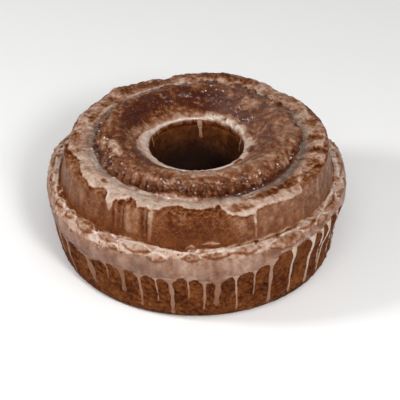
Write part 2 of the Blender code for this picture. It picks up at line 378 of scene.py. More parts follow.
def blurred(values, passes):
    """The grid of values, evened out along its rows and round its columns."""
    for _ in range(passes):
        values = 0.5 * values + 0.25 * (np.roll(values, 1, 1) + np.roll(values, -1, 1))
        padded = np.pad(values, ((1, 1), (0, 0)), mode="edge")
        values = 0.5 * values + 0.25 * (padded[2:] + padded[:-2])
    return values


def around(degrees, pairs):
    """Values that are given at some angles, blended between them."""
    angles, values = zip(*sorted(pairs))
    return np.interp(degrees, angles, values, period=360)


def degrees_apart(degrees, at):
    return (degrees - at + 180) % 360 - 180


def near(degrees, middle, reach, fade):
    """One within reach of this angle, and nothing past a fade beyond it."""
    return smooth_step(reach + fade, reach, np.abs(degrees_apart(degrees, middle)))


# The outline and the rings turned from it

def traced_outline():
    """The whole outline as a dense Catmull-Rom curve, and how far along it each key point lies."""
    points = key_points()
    rows = np.array([p[1:] for p in points], float)
    steps = 24
    t = np.linspace(0, 1, steps, endpoint=False)[:, None]
    spans = []
    for i in range(len(rows) - 1):
        p, q, r, s = rows[max(i - 1, 0)], rows[i], rows[i + 1], rows[min(i + 2, len(rows) - 1)]
        spans.append(
            0.5 * (2 * q + (r - p) * t + (2 * p - 5 * q + 4 * r - s) * t**2
                   + (3 * q - p - 3 * r + s) * t**3)
        )
    line = np.vstack(spans + [rows[-1:]])
    line[:, 1] = np.maximum(line[:, 1], 0)
    along = np.concatenate([[0], np.cumsum(np.hypot(*np.diff(line[:, :2], axis=0).T))])
    places = {p[0]: along[min(i * steps, len(along) - 1)] for i, p in enumerate(points)}
    return line, along, places


LINE, ALONG, PLACES = traced_outline()


class Ring:
    """A stretch of the outline turned round the axis: a grid of points with what is known at each."""

    def __init__(self, start, end, spacing, columns):
        count = max(2, round((end - start) / spacing))
        self.fill(np.linspace(start, end, count + 1)[:, None],
                  np.linspace(-180, 180, columns, endpoint=False)[None, :])

    def fill(self, along, degrees):
        self.lines = None
        self.along, self.degrees = np.broadcast_arrays(along, degrees)
        values = [np.interp(self.along, ALONG, LINE[:, k]) for k in range(LINE.shape[1])]
        self.radius, self.height = values[:2]
        self.knob, self.wave, self.crag, self.glaze = (
            values[KNOB], values[WAVE], values[CRAG], values[GLAZE]
        )
        step = 0.4
        ahead = [np.interp(self.along + step, ALONG, LINE[:, k]) for k in (0, 1)]
        behind = [np.interp(self.along - step, ALONG, LINE[:, k]) for k in (0, 1)]
        run, rise = ahead[0] - behind[0], ahead[1] - behind[1]
        length = np.hypot(run, rise) + 1e-9
        turn = np.radians(self.degrees)
        self.points = np.stack(
            [self.radius * np.cos(turn), self.radius * np.sin(turn), self.height], -1
        )
        outward, upward = -rise / length, run / length
        self.normals = np.stack([outward * np.cos(turn), outward * np.sin(turn), upward], -1)

    def arc_from(self, at):
        """How far each point lies round the ring from this angle."""
        return np.radians(degrees_apart(self.degrees, at)) * self.radius

    def past(self, key):
        return self.along - PLACES[key]


class Spots(Ring):
    """Single places on the cake, by how far along the outline and at what angle they lie."""

    def __init__(self, along, degrees):
        self.fill(np.asarray(along, float), np.asarray(degrees, float))


def all_flakes():
    """The flakes of FLAKES, and as many like them round the rest of the flange."""
    draw = random.Random(FLAKE_SEED)
    flakes = list(FLAKES)
    step = (MORE_FLAKES_TO - MORE_FLAKES_FROM) / MORE_FLAKES
    for i in range(MORE_FLAKES):
        angle = MORE_FLAKES_FROM + step * (i + draw.uniform(0.2, 0.8))
        flakes.append((
            angle, draw.uniform(-4.5, 2.5), draw.uniform(3, 11), draw.uniform(1.0, 2.8),
            draw.uniform(0.8, 1.9), draw.uniform(0.1, 1.0),
        ))
    return flakes


def flake_relief(ring):
    """The flakes' height, what their edges add to the glaze, which is thin on the outer edge that lifts and
    thick round the rest, how bare their tops are, and where the lifted edge is."""
    wobble = rough(ring.points, 3.0, 3, seed=3)
    bend = 1.0 * rough(ring.points * (1, 1, 0), 9.0, 1, seed=5)
    relief = np.zeros(ring.points.shape[:-1])
    glaze, bare, lifted = np.zeros_like(relief), np.zeros_like(relief), np.zeros_like(relief)
    for angle, past, half_length, half_width, rise, bareness in all_flakes():
        across = (ring.past("flange_out") - past + bend) / half_width
        lengthways = ring.arc_from(angle) / half_length
        beyond = (np.abs(across) + lengthways**2 - 1 + 0.22 * wobble) * half_width
        top = smooth_step(0.4, -0.6, beyond)
        relief = np.maximum(relief, rise * top * (0.70 + 0.30 * np.clip(across, -1, 1)))
        line = smooth_step(0.4, -0.2, across) * np.exp(-(((beyond - 0.5) / 0.6) ** 2))
        outer = smooth_step(-0.1, 0.5, across) * np.exp(-(((beyond - 0.3) / 0.7) ** 2))
        glaze += (0.7 + 0.4 * wobble) * line - 0.4 * outer
        bare = np.maximum(bare, bareness * top)
        lifted = np.maximum(lifted, outer)
    return relief, np.clip(glaze, -0.5, 0.6), bare, lifted


def spread_from(ring, angle, key, past, half_length, half_width):
    """How far each point is from this place, in half lengths round the ring and half widths across it."""
    return np.hypot(ring.arc_from(angle) / half_length, (ring.past(key) - past) / half_width)


def lump_relief(ring):
    relief = np.zeros(ring.points.shape[:-1])
    for *place, rise in LUMPS:
        relief += rise * np.exp(-spread_from(ring, *place) ** 2)
    wobble = rough(ring.points, 3.0, 2, seed=17)
    for *place, rise in CHUNKS:
        relief += rise * smooth_step(1.3, 0.6, spread_from(ring, *place) + 0.3 * wobble)
    return relief


def run_shapes(ring):
    """What the runs and dents down the drum add to the glaze and to the relief."""
    glaze, relief = np.zeros(ring.points.shape[:-1]), np.zeros(ring.points.shape[:-1])
    wobble = rough(ring.points, 4.0, 3, seed=19)
    below = ring.past("rim") + 1.0 * wobble
    for angle, top, end, half_width, thicker, rise in RUNS:
        narrowing = 1 - 0.25 * smooth_step(top, end, below)
        across = np.abs(ring.arc_from(angle) + 0.5 * wobble) / (half_width * narrowing)
        shape = smooth_step(1.25, 0.75, across)
        fade = 0.6 + 0.35 * half_width
        shape *= smooth_step(top - fade, top + fade, below) * smooth_step(end + fade, end - fade, below)
        glaze += thicker * shape
        relief += rise * shape
    return glaze, relief


def lobes(ring):
    """Short upright lobes along the crown's broken edge."""
    turn = np.radians(ring.degrees)
    edge = np.stack(
        [CROWN_RADIUS * np.cos(turn) / 4.6, CROWN_RADIUS * np.sin(turn) / 4.6, ring.along / 13.0], -1
    )
    nearest, second = cells(warped(edge, 1.3, 0.30, seed=2), 1.0, seed=5)
    shape = np.maximum(0, 1 - (nearest * 1.2) ** 2) - 0.4 - 0.6 * smooth_step(0.3, 0.0, second - nearest)
    weight = np.exp(-(((ring.past("crown_edge") - 0.3) / 4.6) ** 2))
    return 2.6 * weight * shape * around(ring.degrees, CRAGGY)


def bumps_with_painted_glints(ring):
    """Rough bumps along the back of the lip, from 0 to 1, made pale as painted glints."""
    along_lip = near(ring.degrees, 50, 24, 9) * np.exp(-(((ring.past("lip") - 1.3) / 2.3) ** 2))
    gaps = smooth_step(-0.30, 0.05, rough(ring.points, 5.0, 2, seed=47))
    return along_lip * gaps * bumps(warped(ring.points, 3.0, 1.4, seed=12), 3.4, 1.2, seed=41)


def pores(ring):
    """Small round holes and torn pits of bare crumb, as a depth from 0 to 1."""
    place = warped(ring.points, 4.0, 1.0, seed=6)
    nearest, _ = cells(place, 2.6, seed=4)
    small = smooth_step(0.42, 0.15, nearest)
    nearest, _ = cells(place, 5.5, seed=8)
    large = smooth_step(0.34, 0.12, nearest)
    return np.maximum(0.6 * small, large)


def crust(ring):
    """How far the baked crust stands off the outline at each point."""
    knob = bumps(warped(ring.points, WARP_SIZE, WARP_REACH), KNOB_SIZE) - KNOB_MEAN
    height = ring.knob * knob + ring.wave * rough(ring.points, WAVE_SIZE)
    height += lump_relief(ring) + lobes(ring) + run_shapes(ring)[1] + 1.3 * bumps_with_painted_glints(ring)
    on_shoulder = smooth_step(0, 4, ring.past("groove")) * smooth_step(3, 0, ring.past("drum_top"))
    height += 0.5 * on_shoulder * streaks(ring, 7, 40, 2, seed=1)
    knobbly = near(ring.degrees, 135, 55, 25) * smooth_step(9, 4, np.abs(ring.past("rim")))
    height += 1.6 * knobbly * (bumps(ring.points, 8.0, 1.2, seed=31) - 0.4)
    on_crown = smooth_step(3, -1, ring.past("undercut"))
    fine = warped(ring.points, 5.0, 1.6, seed=1)
    nearest, second = cells(fine, 4.2, seed=1)
    crag = 0.9 * (np.maximum(0, 1 - (nearest * 1.25) ** 2) - 0.45)
    crag -= 0.5 * smooth_step(0.16, 0.0, second - nearest)
    crag += 0.55 * (bumps(fine, 2.1, 1.35, seed=2) - 0.4)
    crag += 0.6 * rough(ring.points, 2.6, 3, seed=4)
    crag = crag * (1 - 0.55 * smoother_front(ring))
    return height + ring.crag * crag * (1 - on_crown * (1 - around(ring.degrees, CRAGGY)))


def smoother_front(ring):
    """One on the front of the crown, from the lip up to its rim, where the glaze lies smooth."""
    return near(ring.degrees, -86, 36, 20) * smooth_step(0, -4, ring.past("crown_out"))


def edge_lines(ring):
    """Lengths along the outline where the shoulder's glaze ends, where the flange's starts, where it
    stops being pale and where it ends."""
    if ring.lines is None:
        ragged = rough(ring.points * (1, 1, 0.15), 5.0, 3, seed=9)
        unseen = rough(ring.points * (1, 1, 0.0), 16.0, 2, seed=12)
        ring.lines = []
        for key, pairs, mean, depth, middle, reach, wander in (
            ("rim", SCALLOPS, SCALLOP_MEAN, SCALLOP_DEPTH, -95, 74, 0.7),
            ("drum_foot", FOOT, FOOT_MEAN, FOOT_DEPTH, -105, 76, 1.0),
            ("flange_out", PALE_END, PALE_END_MEAN, PALE_END_DEPTH, -92, 74, 1.0),
            ("flange_out", HEM, HEM_MEAN, HEM_DEPTH, -92, 82, 1.0),
        ):
            seen = near(ring.degrees, middle, reach, 14)
            line = seen * around(ring.degrees, pairs) + (1 - seen) * (mean + depth * unseen)
            ring.lines.append(PLACES[key] + line + wander * ragged)
        for top_angle, _, _, width, _ in all_drips():
            ring.lines[3] += 2.6 * np.exp(-((ring.arc_from(top_angle) / (1.0 + width)) ** 2))
    return ring.lines


def glaze_depth(ring):
    """How thick the glaze lies, before it runs off what stands up. Below zero there is none."""
    scallop, foot, pale_end, hem = edge_lines(ring)
    on_crown = smooth_step(2, 0, ring.past("undercut"))
    mottled = (0.32 - 0.12 * on_crown) * rough(ring.points, 10.0, 3, seed=6)
    mottled = mottled + (0.16 + 0.12 * on_crown) * rough(ring.points, 3.2, 2, seed=16)
    drawn = streaks(ring, 4.2, 16, 2, seed=3)
    at_back = smooth_step(0.1, 0.9, np.sin(np.radians(ring.degrees)))
    on_shoulder = smooth_step(1, 3, ring.past("groove")) * smooth_step(2, -2, ring.past("drum_top"))
    mottled = mottled * (1 - 0.45 * on_shoulder) * (1 - 0.45 * smoother_front(ring))
    depth = ring.glaze + mottled + 0.2 * drawn * (1 - 0.8 * on_crown) - 0.08 * at_back
    # Thinner glaze and painted shade in the gaps between the crown's lobes, paler glaze on their tops
    depth = depth + 0.17 * np.clip(lobes(ring), -1.5, 1.2) * on_crown
    vein = smooth_step(0.09, 0.0, np.abs(rough(warped(ring.points, 4, 1.2, seed=9), 5.5, 2, seed=21)))
    depth = depth + 0.30 * vein * on_crown * smooth_step(-0.2, 0.3, rough(ring.points, 13, 2, seed=23))

    lip_end = around(ring.degrees, LIP_WIDTH) + 0.7 * rough(ring.points, 6, 2) - 1.6
    lip_start = -1.0 - 2.2 * smooth_step(-0.2, -0.85, np.sin(np.radians(ring.degrees)))
    lip = smooth_step(-0.8, 0.2, ring.past("lip") - lip_start)
    lip = lip * smooth_step(0.9, -0.5, ring.past("lip") - lip_end)
    # Painted glints: the bumps along the back of the lip are made pale
    depth = depth + around(ring.degrees, LIP_GLAZE) * lip + 1.1 * bumps_with_painted_glints(ring)
    depth = depth - around(ring.degrees, SHOULDER_THINNER) * on_shoulder

    beyond = ring.along - scallop
    film = around(ring.degrees, DRUM_FILM) - 0.0025 * ring.past("rim")
    film = film + 0.12 * rough(ring.points * (1, 1, 0.6), 9.0, 4, seed=8) + 0.04 * drawn
    film = film + 0.16 * near(ring.degrees, -25, 40, 20) * rough(ring.points, 4.5, 3, seed=45)
    film = film + run_shapes(ring)[0]
    flange = ring.along - foot
    on_drum = smooth_step(-0.2, 0.9, beyond) * smooth_step(0.4, -0.6, flange)
    depth = depth * (1 - on_drum) + film * on_drum
    bead = np.clip(0.35 + 0.8 * rough(ring.points * (1, 1, 0), 9, 2, seed=27), 0, 1)
    depth = depth + 0.35 * bead * np.exp(-(((beyond + 1.0) / 1.2) ** 2)) * (ring.past("groove") > 3)
    depth = depth - 0.10 * np.exp(-(((beyond - 0.9) / 0.5) ** 2))
    depth = depth + 0.3 * np.exp(-(((flange - 1.0) / 0.8) ** 2))
    depth = depth - around(ring.degrees, FLANGE_THINNER) * smooth_step(0, 1.5, flange)

    wobble = rough(ring.points, 5.0, 3, seed=14)
    for *place, change in PATCHES:
        depth = depth + change * smooth_step(1.25, 0.55, spread_from(ring, *place) + 0.35 * wobble)
    for *place, _ in CHUNKS:
        depth = depth - 0.4 * smooth_step(1.35, 0.8, spread_from(ring, *place) + 0.3 * wobble)

    mauve = smooth_step(-0.7, 0.9, ring.along - pale_end)
    # Painted shade: the thin glaze of the nose band darkens further down its overhanging lower part
    thin = 0.40 - 0.012 * np.clip(ring.along - pale_end, 0, 18) + 0.14 * wobble + 0.22 * drawn
    thin = thin - 0.14 * near(ring.degrees, -142, 32, 16) + 0.2 * rough(ring.points, 12.0, 2, seed=43)
    depth = depth * (1 - mauve) + thin * mauve
    under = ring.along - hem
    depth = depth + 0.15 * np.exp(-(((under + 1.0) / 0.9) ** 2)) * mauve
    return np.where(under > -0.4, depth - 1.4 * (under + 0.4), depth)


def glazed_surface(ring, pool, passes):
    """The crust with its glaze on: its height off the outline bare and glazed, how pale it is, and where it
    is a flake's bare top or lifted edge."""
    bare = crust(ring)
    film = glaze_depth(ring)
    if passes:
        film = film + pool * (blurred(bare, passes) - bare)
    flakes, on_flakes, bared, lifted = flake_relief(ring)
    on_top = FLAKE_FILM + 0.45 * rough(ring.points, 3.0, 3, seed=33)
    film = (film + on_flakes) * (1 - bared) + on_top * bared
    wet = softly_above_zero(film)
    return bare, bare + flakes + wet, 1 - np.exp(-wet / PALE_AT), bared, lifted


# Meshes

def closed_ring_object(name, grid, sheets):
    """A ring mesh from a grid of points, whose last row joins its first, with its point values."""
    rows, columns = grid.shape[:2]
    index = np.arange(rows * columns).reshape(rows, columns)
    after, right = np.roll(index, -1, 0), np.roll(index, -1, 1)
    corner = np.roll(after, -1, 1)
    faces = np.stack([index, after, corner, right], -1).reshape(-1, 4).tolist()
    return mesh_object(name, grid.reshape(-1, 3), faces, sheets)


def mesh_object(name, points, faces, sheets):
    """An object from points, faces as lists of indices, and point values."""
    mesh = bpy.data.meshes.new(name)
    mesh.from_pydata((np.asarray(points) * MM).tolist(), [], faces)
    for sheet, values in sheets.items():
        layer = mesh.attributes.new(sheet, "FLOAT", "POINT")
        layer.data.foreach_set("value", np.asarray(values, np.float32).ravel())
    mesh.shade_smooth()
    piece = bpy.data.objects.new(name, mesh)
    bpy.context.scene.collection.objects.link(piece)
    return piece


def level_circle(turn, radius, height):
    """Points at these angles round the axis, at one radius and height."""
    return np.stack([radius * np.cos(turn), radius * np.sin(turn), np.full(len(turn), height)], -1)


def with_inner_rows(grid, sheets, inner):
    """Adds rows of hidden points that close the ring inside the cake, each a radius and a height."""
    columns = grid.shape[1]
    turn = np.radians(np.linspace(-180, 180, columns, endpoint=False))
    rows = [level_circle(turn, *place) for place in inner]
    grid = np.concatenate([grid, np.array(rows)])
    padded = {
        name: np.concatenate([values, np.repeat(values[-1:], len(inner), 0)])
        for name, values in sheets.items()
    }
    return grid, padded


def sheets_for(ring, bare, sugar, bared, lifted):
    """The point values that the materials read."""
    _, foot, pale_end, _ = edge_lines(ring)
    groove = np.exp(-(((ring.past("groove") - 1.2) / 3.2) ** 2)) * around(ring.degrees, GREY_GROOVE)
    groove = groove * (0.8 + 0.6 * rough(ring.points, 6, 3, seed=25))
    mauve = smooth_step(-0.9, 1.5, ring.along - pale_end) * (1 - bared)
    inside = smooth_step(0.5, 3, ring.past("lip")) * smooth_step(3, -3, ring.past("crown_out"))
    # Painted sheen: mauve added on the crown's inner slope at the back right, on the drum's right side and on
    # the back of the shoulder
    mauve = mauve + 0.30 * near(ring.degrees, 28, 34, 26) * inside
    on_drum = (ring.along - foot < 0) * (ring.past("rim") > 1)
    mauve = mauve + 0.25 * near(ring.degrees, -30, 30, 20) * on_drum
    mauve = mauve + 0.15 * near(ring.degrees, 85, 50, 30) * (np.abs(ring.past("shoulder")) < 9)
    mauve = mauve * (0.42 + 0.25 * rough(ring.points, 7, 3, seed=29))
    low_drum = smooth_step(8, 19, ring.past("rim")) * smooth_step(0.8, -0.6, ring.along - foot)
    crown_rim = near(ring.degrees, -90, 45, 25) * np.exp(-(((ring.past("crown_out") - 3.0) / 4.0) ** 2))
    amber = 0.36 * low_drum * near(ring.degrees, -92, 50, 25) + 0.7 * lifted + 0.38 * crown_rim
    amber = amber * (0.85 + 0.5 * rough(ring.points, 5, 3, seed=37))
    return {
        "sugar": sugar, "cool": np.clip(groove, 0, 1), "mauve": np.clip(mauve, 0, 1),
        # hollow: how far the crust lies below its blurred surroundings, used for painted shade in crevices and
        # for less coat there
        "amber": np.clip(amber, 0, 0.8), "hollow": bare - blurred(bare, 8),
    }


def glazed_ring(name, start, end, spacing, columns, pool, passes, inner, seam=None, hidden=0):
    """A stretch of the glazed surface, closed inside the cake by rows at these radii and heights. Past
    the seam, in the hidden direction, it dips under the neighbouring stretch."""
    ring = Ring(start, end, spacing, columns)
    bare, lift, sugar, *tops = glazed_surface(ring, pool, passes)
    lift = lift - 0.8 * np.clip(ring.along - edge_lines(ring)[3], 0, 3)
    if seam:
        lift = lift - 1.4 * smooth_step(0, 1.6, hidden * (ring.along - seam))
    grid = ring.points + lift[..., None] * ring.normals
    return closed_ring_object(name, *with_inner_rows(grid, sheets_for(ring, bare, sugar, *tops), inner))


def make_crown():
    inner = [(CROWN_RADIUS - 5, SHOULDER_HEIGHT - 6), (HOLE_RADIUS + 9, SHOULDER_HEIGHT - 13)]
    return glazed_ring("crown", PLACES["lip"] - 5, PLACES["groove"] + 1.2, 0.50, 820, 0.30, 7, inner)


def make_shoulder():
    inner = [(DRUM_RADIUS - 8, FLANGE_HEIGHT + 12), (CROWN_RADIUS - 2, SHOULDER_HEIGHT - 8)]
    seam = PLACES["drum_foot"] - 3
    start = PLACES["groove"] - 1.5
    return glazed_ring("shoulder_glaze", start, seam + 3, 0.47, 1100, 0.5, 14, inner, seam, 1)


def make_flange():
    inner = [(CAKE_RADIUS - 9, FLANGE_HEIGHT - 6), (DRUM_RADIUS - 4, FLANGE_HEIGHT + 10)]
    seam = PLACES["drum_foot"] - 3
    end = PLACES["wall_high"] + 5
    return glazed_ring("flange_glaze", seam - 3, end, 0.51, 1180, 0.5, 14, inner, seam, -1)


def make_crumb():
    """The bare wall, the base and the hole's wall, with hidden rows that close it inside."""
    wall = Ring(PLACES["nose_top"] - 2, PLACES["base"] - 0.3, 0.8, CRUMB_COLUMNS)
    hole = Ring(0.3, PLACES["lip"] - 2, 1.5, CRUMB_COLUMNS)
    grids, sheets = [], {"pore": [], "hole_shade": [], "hollow": []}
    for ring in (wall, hole):
        bare = crust(ring)
        depth = pores(ring)
        settled = smooth_step(0, 5, ring.height)
        lift = bare - 1.2 * np.minimum(ring.crag, 1) * depth
        if ring is wall:
            lift = lift - 1.2 * smooth_step(0, -6, ring.past("nose"))
        else:
            lift = lift - 1.2 * smooth_step(-5, -3.2, ring.past("lip"))
        grids.append(ring.points + (lift * settled)[..., None] * ring.normals)
        sheets["pore"].append(depth)
        # Painted shade inside the hole, darker further down it
        lower_down = 0.3 + 0.7 * smooth_step(70, 44, ring.height)
        sheets["hole_shade"].append(smooth_step(45, 30, ring.radius) * lower_down)
        sheets["hollow"].append(bare - blurred(bare, 6))
    turn = np.radians(wall.degrees[0])
    floor_rows = [
        level_circle(turn, radius, 0.0)
        for radius in np.linspace(BASE_RADIUS - 4, HOLE_RADIUS + 6, 8)
    ]
    inner_rows = [
        level_circle(turn, *place)
        for place in [
            (HOLE_RADIUS + 9, SHOULDER_HEIGHT - 11), (CROWN_RADIUS, SHOULDER_HEIGHT - 10),
            (DRUM_RADIUS - 6, SHOULDER_HEIGHT - 12), (CAKE_RADIUS - 8, FLANGE_HEIGHT + 3),
        ]
    ]
    grid = np.concatenate([grids[0], np.array(floor_rows), grids[1], np.array(inner_rows)])
    joined = {}
    for name, (on_wall, in_hole) in sheets.items():
        below = np.repeat(on_wall[-1:], len(floor_rows), 0)
        within = np.repeat(in_hole[-1:], len(inner_rows), 0)
        joined[name] = np.concatenate([on_wall, below, in_hole, within])
    return closed_ring_object("crumb_body", grid, joined)


def all_drips():
    draw = random.Random(DRIP_SEED)
    drips = list(DRIPS)
    step = (MORE_DRIPS_TO - MORE_DRIPS_FROM) / MORE_DRIPS
    for i in range(MORE_DRIPS):
        angle = MORE_DRIPS_FROM + step * (i + draw.uniform(0.1, 0.9))
        drips.append((
            angle, angle + draw.uniform(-2.5, 2.5), draw.uniform(6, 26),
            draw.choice([1.2, 1.5, 2.0, 2.6, 3.4, 5.5]), draw.uniform(0.45, 0.8),
        ))
    return drips


def drip_mesh(along, degrees, widths, depth, sides=10):
    """A drip that follows the surface: a flattened tube, half sunk into the crust."""
    spots = Spots(along, degrees)
    lift = crust(spots)
    lift = np.convolve(np.pad(lift, 3, mode="edge"), np.ones(7) / 7, mode="valid")
    middle = spots.points + lift[:, None] * spots.normals
    turn = np.radians(spots.degrees)
    sideways = np.stack([-np.sin(turn), np.cos(turn), np.zeros_like(turn)], -1)
    points = []
    for k in range(sides):
        angle = math.tau * k / sides
        points.append(
            middle
            + (widths * 0.5 * math.cos(angle))[:, None] * sideways
            + (depth * np.minimum(1, widths / 1.4) * math.sin(angle))[:, None] * spots.normals
        )
    points = np.stack(points, 1)
    rows = len(points)
    faces = []
    for i in range(rows - 1):
        for k in range(sides):
            n = (k + 1) % sides
            faces.append((i * sides + k, (i + 1) * sides + k, (i + 1) * sides + n, i * sides + n))
    faces.append(tuple(range(sides)))
    faces.append(tuple(reversed(range((rows - 1) * sides, rows * sides))))
    return points.reshape(-1, 3), faces


def joined_mesh(name, parts, sheet_names):
    """One object from several meshes, each with its points, faces and point values."""
    points, faces = [], []
    sheets = {sheet: [] for sheet in sheet_names}
    start = 0
    for part_points, part_faces, values in parts:
        points.append(part_points)
        faces.extend(tuple(start + i for i in face) for face in part_faces)
        for sheet in sheet_names:
            sheets[sheet].append(np.broadcast_to(values[sheet], len(part_points)))
        start += len(part_points)
    values = {sheet: np.concatenate(found) for sheet, found in sheets.items()}
    return mesh_object(name, np.concatenate(points), faces, values)


def drip_part(draw, angles, along, width, pale):
    """One drip's mesh, wide where it leaves the glaze, with a rounded end."""
    t = np.linspace(0, 1, len(along))
    sway = 0.22 * np.sin(t * draw.uniform(3, 7) + draw.uniform(0, 6))
    degrees = angles[0] + (angles[1] - angles[0]) * t + sway
    shape = 1.8 * np.exp(-((t / 0.08) ** 2)) + 1.0 - 0.45 * t + 0.3 * np.exp(-(((t - 0.93) / 0.06) ** 2))
    shape = shape * (1 + 0.2 * np.sin(t * draw.uniform(9, 20) + angles[0]))
    shape[-3:] *= (0.85, 0.6, 0.25)
    points, faces = drip_mesh(along, degrees, width * shape, 0.6)
    paleness = np.repeat(pale * (1 - 0.35 * t**2), len(points) // len(t))
    return points, faces, {"sugar": paleness, "cool": 0.0, "mauve": 0.15, "amber": 0.0, "hollow": 0.0}


def make_drips():
    """The drips down the wall below the glaze, and those down the hole."""
    parts = []
    draw = random.Random(DRIP_SEED + 1)
    wall = ALONG > PLACES["nose"]
    for top_angle, end_angle, end_height, width, pale in all_drips():
        hem = edge_lines(Spots([PLACES["nose"]], [top_angle]))[3][0]
        end = np.interp(end_height, LINE[wall, 1][::-1], ALONG[wall][::-1])
        if end < hem + 4:
            continue
        along = np.linspace(hem - 2.5, end, max(12, int((end - hem) / 0.8)))
        parts.append(drip_part(draw, (top_angle, end_angle), along, width, pale))
    for top_angle, end_angle, end_height, width, pale in HOLE_DRIPS:
        along = np.linspace(PLACES["lip"] + 0.5, PLACES["hole_low"] + end_height - 2.5, 26)
        parts.append(drip_part(draw, (top_angle, end_angle), along, width, pale))
    return joined_mesh("wall_drips", parts, GLAZE_SHEETS)


def chip_mesh(draw, middle, out, size):
    """A small rough lump of crust, flattened against the surface."""
    shape = bmesh.new()
    bmesh.ops.create_icosphere(shape, subdivisions=2, radius=1)
    turn = out.to_track_quat("Z", "Y").to_matrix() @ Matrix.Rotation(draw.uniform(0, math.tau), 3, "Z")
    stretch = Vector((size, size * draw.uniform(0.5, 0.9), size * draw.uniform(0.35, 0.6)))
    shift = draw.uniform(0, 50)
    points = []
    for vert in shape.verts:
        grown = vert.co * (1 + 0.35 * noise.noise(vert.co * 1.7 + Vector((shift, 0, 0))))
        points.append(middle + turn @ Vector(a * b for a, b in zip(grown, stretch)))
    faces = [tuple(vert.index for vert in face.verts) for face in shape.faces]
    shape.free()
    return np.array(points), faces


def make_chips():
    draw = random.Random(CHIP_SEED)
    parts = []
    for first, last, key, start, end, count in CHIPS:
        spots = Spots(
            [PLACES[key] + draw.uniform(start, end) for _ in range(count)],
            [draw.uniform(first, last) for _ in range(count)],
        )
        lift = glazed_surface(spots, 0, 0)[1]
        places = spots.points + (lift - 0.15)[:, None] * spots.normals
        for place, normal in zip(places, spots.normals):
            size = draw.uniform(0.35, 1.0) * draw.choice([0.8, 1.0, 1.0, 1.5])
            points, faces = chip_mesh(draw, Vector(place), Vector(normal), size)
            values = {"sugar": draw.uniform(0.26, 0.75), "cool": 0.0, "mauve": 0.0, "hollow": 0.0}
            values["amber"] = draw.choice([0.0, 0.3, 0.7])
            parts.append((points, faces, values))
    return joined_mesh("crust_chips", parts, GLAZE_SHEETS)


# Materials

def shader_of(name):
    material = bpy.data.materials.new(name)
    material.use_nodes = True
    return material, material.node_tree, material.node_tree.nodes["Principled BSDF"]


def point_value(tree, name):
    node = tree.nodes.new("ShaderNodeAttribute")
    node.attribute_name = name
    return node.outputs["Fac"]


def noise_value(tree, scale, detail=3.0, roughness=0.55):
    place = tree.nodes.new("ShaderNodeTexCoord")
    node = tree.nodes.new("ShaderNodeTexNoise")
    node.inputs["Scale"].default_value = scale
    node.inputs["Detail"].default_value = detail
    node.inputs["Roughness"].default_value = roughness
    tree.links.new(place.outputs["Object"], node.inputs["Vector"])
    return node.outputs["Fac"]


def worked(tree, operation, *values, clamp=False):
    node = tree.nodes.new("ShaderNodeMath")
    node.operation = operation
    node.use_clamp = clamp
    for socket, value in zip(node.inputs, values):
        if isinstance(value, (int, float)):
            socket.default_value = value
        else:
            tree.links.new(value, socket)
    return node.outputs[0]


def ramped(tree, value, stops):
    node = tree.nodes.new("ShaderNodeValToRGB")
    elements = node.color_ramp.elements
    while len(elements) < len(stops):
        elements.new(0.5)
    for element, (at, colour) in zip(elements, stops):
        element.position = at
        element.color = (*colour, 1)
    tree.links.new(value, node.inputs["Fac"])
    return node.outputs["Color"]


def mixed(tree, amount, first, second, kind="MIX"):
    node = tree.nodes.new("ShaderNodeMix")
    node.data_type = "RGBA"
    node.blend_type = kind
    for socket, value in ((node.inputs[0], amount), (node.inputs[6], first), (node.inputs[7], second)):
        if isinstance(value, (int, float)):
            socket.default_value = value
        elif isinstance(value, tuple):
            socket.default_value = (*value, 1)
        else:
            tree.links.new(value, socket)
    return node.outputs[2]


def scaled(tree, value, low, high, new_low, new_high):
    node = tree.nodes.new("ShaderNodeMapRange")
    for name, number in (
        ("From Min", low), ("From Max", high), ("To Min", new_low), ("To Max", new_high)
    ):
        node.inputs[name].default_value = number
    tree.links.new(value, node.inputs["Value"])
    return node.outputs["Result"]


def roughened(tree, shader, height, strength, distance):
    bump = tree.nodes.new("ShaderNodeBump")
    bump.inputs["Strength"].default_value = strength
    bump.inputs["Distance"].default_value = distance
    tree.links.new(height, bump.inputs["Height"])
    tree.links.new(bump.outputs["Normal"], shader.inputs["Normal"])


# Linear colours, from bare crust to thick dry glaze
GLAZE_COLOURS = [
    (0.00, (0.045, 0.006, 0.001)),
    (0.16, (0.112, 0.029, 0.005)),
    (0.36, (0.192, 0.075, 0.031)),
    (0.55, (0.300, 0.163, 0.106)),
    (0.75, (0.450, 0.322, 0.252)),
    (1.00, (0.640, 0.550, 0.480)),
]
COOL_GLAZE = (0.150, 0.130, 0.115)
# Mauve of the thin glaze on the flange's nose, also used as painted sheen on the crown, drum and shoulder
MAUVE_GLAZE_AND_SHEEN = (0.285, 0.192, 0.158)
AMBER_CRUST = (0.160, 0.048, 0.012)
CRUST_SPECK = (0.070, 0.020, 0.006)
SUGAR_SPECK = (0.480, 0.320, 0.220)
# Painted shade: near-black mixed into the crust's crevices
CREVICE_SHADE = (0.022, 0.005, 0.002)


def nudged(tree, value, scale, detail, amount):
    """The value with noise of this size and amount added."""
    shift = worked(tree, "SUBTRACT", noise_value(tree, scale, detail), 0.5)
    return worked(tree, "ADD", value, worked(tree, "MULTIPLY", shift, amount))


